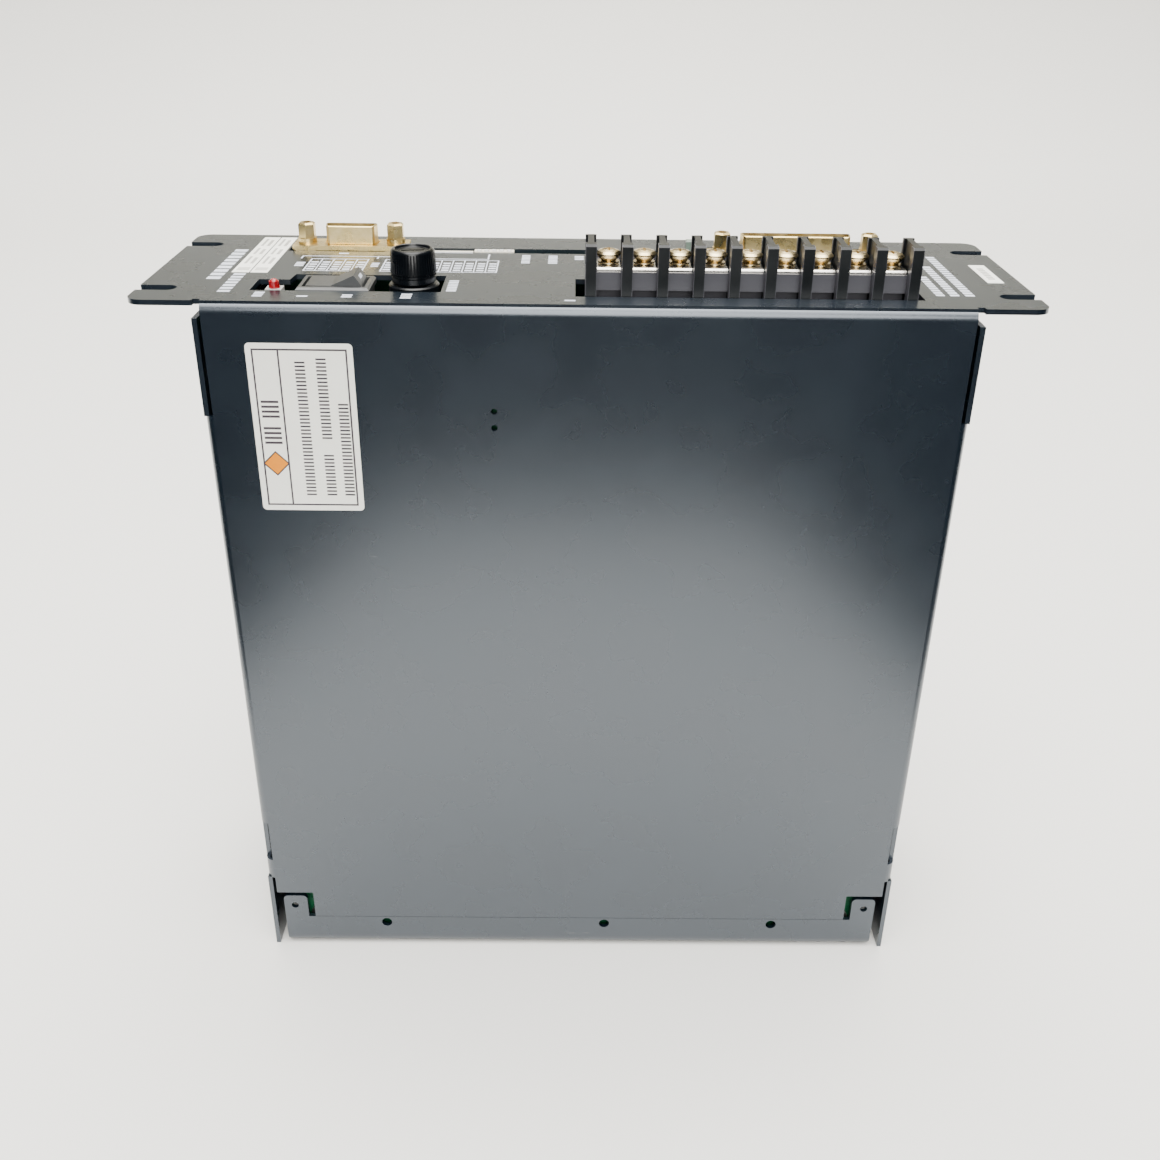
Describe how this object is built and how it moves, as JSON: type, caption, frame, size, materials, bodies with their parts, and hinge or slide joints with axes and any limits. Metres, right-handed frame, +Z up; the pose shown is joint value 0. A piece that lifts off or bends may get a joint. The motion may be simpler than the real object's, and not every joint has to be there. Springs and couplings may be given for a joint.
{
  "type": "stepper driver module",
  "caption": "Sheet-metal book-style stepper motor driver with an eared front panel, screw terminal row, rocker switch, fuse holder and two ribbon connectors.",
  "frame": {"origin": "middle of the rear end's footprint, where the module stands on the floor", "axes": "+Z up from the rear end to the front panel, X along the panel between its ears, -Y out of the open side plate"},
  "size_m": [0.256, 0.0811, 0.2503],
  "materials": {
    "black_paint": "satin black paint",
    "label_film": "printed film label",
    "circuit_board": "green solder mask",
    "black_screw": "black zinc",
    "zinc_steel": "zinc-plated steel",
    "brass_pillar": "nickel-plated brass",
    "terminal_plastic": "moulded black thermoplastic",
    "nickel_plate": "nickel plate",
    "terminal_screw": "yellow-tinted zinc",
    "fuse_plastic": "moulded black phenolic",
    "fuse_glass": "clear glass with nickel caps",
    "switch_plastic": "moulded dark grey plastic",
    "grey_plastic": "moulded grey plastic",
    "red_lens": "red diffused lens",
    "cream_plastic": "moulded cream plastic",
    "white_plastic": "moulded white plastic",
    "yellow_chromate": "yellow chromate over steel",
    "black_insulator": "moulded black plastic",
    "green_lens": "diffused green-grey lens",
    "aluminium_block": "milled aluminium",
    "thermal_pad": "grey silicone pad",
    "component_epoxy": "black epoxy",
    "capacitor_sleeve": "dark blue sleeve",
    "ferrite": "dark ferrite",
    "coil_tape": "yellow tape",
    "cement": "white cement",
    "crystal_can": "steel can"
  },
  "bodies": {
    "case": {"cover": "black_paint", "chassis": "black_paint", "side_label": "label_film", "panel_labels": "label_film", "power_board": "circuit_board", "control_board": "circuit_board", "io_board": "circuit_board", "board_brackets": "zinc_steel", "board_pillars": "brass_pillar", "chassis_pillars": "brass_pillar", "case_screws": "black_screw", "board_screws": "zinc_steel", "terminal_block": "terminal_plastic", "terminal_plates": "nickel_plate", "fuse_holder": "fuse_plastic", "fuse_contact": "nickel_plate", "switch_housing": "switch_plastic", "led_holder": "grey_plastic", "power_led": "red_lens", "dip_switch": "cream_plastic", "small_connector_shell": "yellow_chromate", "small_connector_insulator": "black_insulator", "large_connector_shell": "yellow_chromate", "large_connector_insulator": "black_insulator", "connector_contacts": "nickel_plate", "jackscrews": "yellow_chromate", "connector_brackets": "zinc_steel", "status_led": "green_lens", "heat_spreader": "aluminium_block", "insulating_pad": "thermal_pad", "power_transistors": "component_epoxy", "main_capacitors": "capacitor_sleeve", "filter_capacitors": "capacitor_sleeve", "transformer_core": "ferrite", "transformer_coil": "coil_tape", "line_choke": "ferrite", "bridge_rectifier": "component_epoxy", "inrush_relay": "component_epoxy", "braking_resistors": "cement", "gate_drivers": "component_epoxy", "board_headers": "black_insulator", "controller_chips": "component_epoxy", "clock_crystal": "crystal_can"},
    "terminal_screw_1": {"terminal_screw_1": "terminal_screw"},
    "terminal_screw_2": {"terminal_screw_2": "terminal_screw"},
    "terminal_screw_3": {"terminal_screw_3": "terminal_screw"},
    "terminal_screw_4": {"terminal_screw_4": "terminal_screw"},
    "terminal_screw_5": {"terminal_screw_5": "terminal_screw"},
    "terminal_screw_6": {"terminal_screw_6": "terminal_screw"},
    "terminal_screw_7": {"terminal_screw_7": "terminal_screw"},
    "terminal_screw_8": {"terminal_screw_8": "terminal_screw"},
    "terminal_screw_9": {"terminal_screw_9": "terminal_screw"},
    "rocker": {"switch_rocker": "switch_plastic"},
    "fuse": {"fuse": "fuse_glass"},
    "fuse_cap": {"fuse_cap": "fuse_plastic"},
    "dip_slider_1": {"dip_slider_1": "white_plastic"},
    "dip_slider_2": {"dip_slider_2": "white_plastic"},
    "dip_slider_3": {"dip_slider_3": "white_plastic"},
    "dip_slider_4": {"dip_slider_4": "white_plastic"},
    "dip_slider_5": {"dip_slider_5": "white_plastic"}
  },
  "joints": [
    {"name": "terminal_screw_1_travel", "type": "slide", "parent": "case", "child": "terminal_screw_1", "axis": [0, 0, 1], "range_m": [-0.0003, 0.0025]},
    {"name": "terminal_screw_2_travel", "type": "slide", "parent": "case", "child": "terminal_screw_2", "axis": [0, 0, 1], "range_m": [-0.0003, 0.0025]},
    {"name": "terminal_screw_3_travel", "type": "slide", "parent": "case", "child": "terminal_screw_3", "axis": [0, 0, 1], "range_m": [-0.0003, 0.0025]},
    {"name": "terminal_screw_4_travel", "type": "slide", "parent": "case", "child": "terminal_screw_4", "axis": [0, 0, 1], "range_m": [-0.0003, 0.0025]},
    {"name": "terminal_screw_5_travel", "type": "slide", "parent": "case", "child": "terminal_screw_5", "axis": [0, 0, 1], "range_m": [-0.0003, 0.0025]},
    {"name": "terminal_screw_6_travel", "type": "slide", "parent": "case", "child": "terminal_screw_6", "axis": [0, 0, 1], "range_m": [-0.0003, 0.0025]},
    {"name": "terminal_screw_7_travel", "type": "slide", "parent": "case", "child": "terminal_screw_7", "axis": [0, 0, 1], "range_m": [-0.0003, 0.0025]},
    {"name": "terminal_screw_8_travel", "type": "slide", "parent": "case", "child": "terminal_screw_8", "axis": [0, 0, 1], "range_m": [-0.0003, 0.0025]},
    {"name": "terminal_screw_9_travel", "type": "slide", "parent": "case", "child": "terminal_screw_9", "axis": [0, 0, 1], "range_m": [-0.0003, 0.0025]},
    {"name": "rocker_tilt", "type": "hinge", "parent": "case", "child": "rocker", "pos_m": [-0.07295, -0.0199, 0.2333], "axis": [0, 1, 0], "range_deg": [0, 24]},
    {"name": "fuse_draw", "type": "slide", "parent": "case", "child": "fuse", "axis": [0, 0, 1], "range_m": [0, 0.032]},
    {"name": "fuse_cap_turn", "type": "hinge", "parent": "fuse", "child": "fuse_cap", "pos_m": [-0.0505, -0.02, 0.2363], "axis": [0, 0, 1], "range_deg": [0, 90]},
    {"name": "dip_slider_1_travel", "type": "slide", "parent": "case", "child": "dip_slider_1", "axis": [0, 1, 0], "range_m": [0, 0.001]},
    {"name": "dip_slider_2_travel", "type": "slide", "parent": "case", "child": "dip_slider_2", "axis": [0, 1, 0], "range_m": [0, 0.001]},
    {"name": "dip_slider_3_travel", "type": "slide", "parent": "case", "child": "dip_slider_3", "axis": [0, 1, 0], "range_m": [0, 0.001]},
    {"name": "dip_slider_4_travel", "type": "slide", "parent": "case", "child": "dip_slider_4", "axis": [0, 1, 0], "range_m": [0, 0.001]},
    {"name": "dip_slider_5_travel", "type": "slide", "parent": "case", "child": "dip_slider_5", "axis": [0, 1, 0], "range_m": [0, 0.001]}
  ]
}
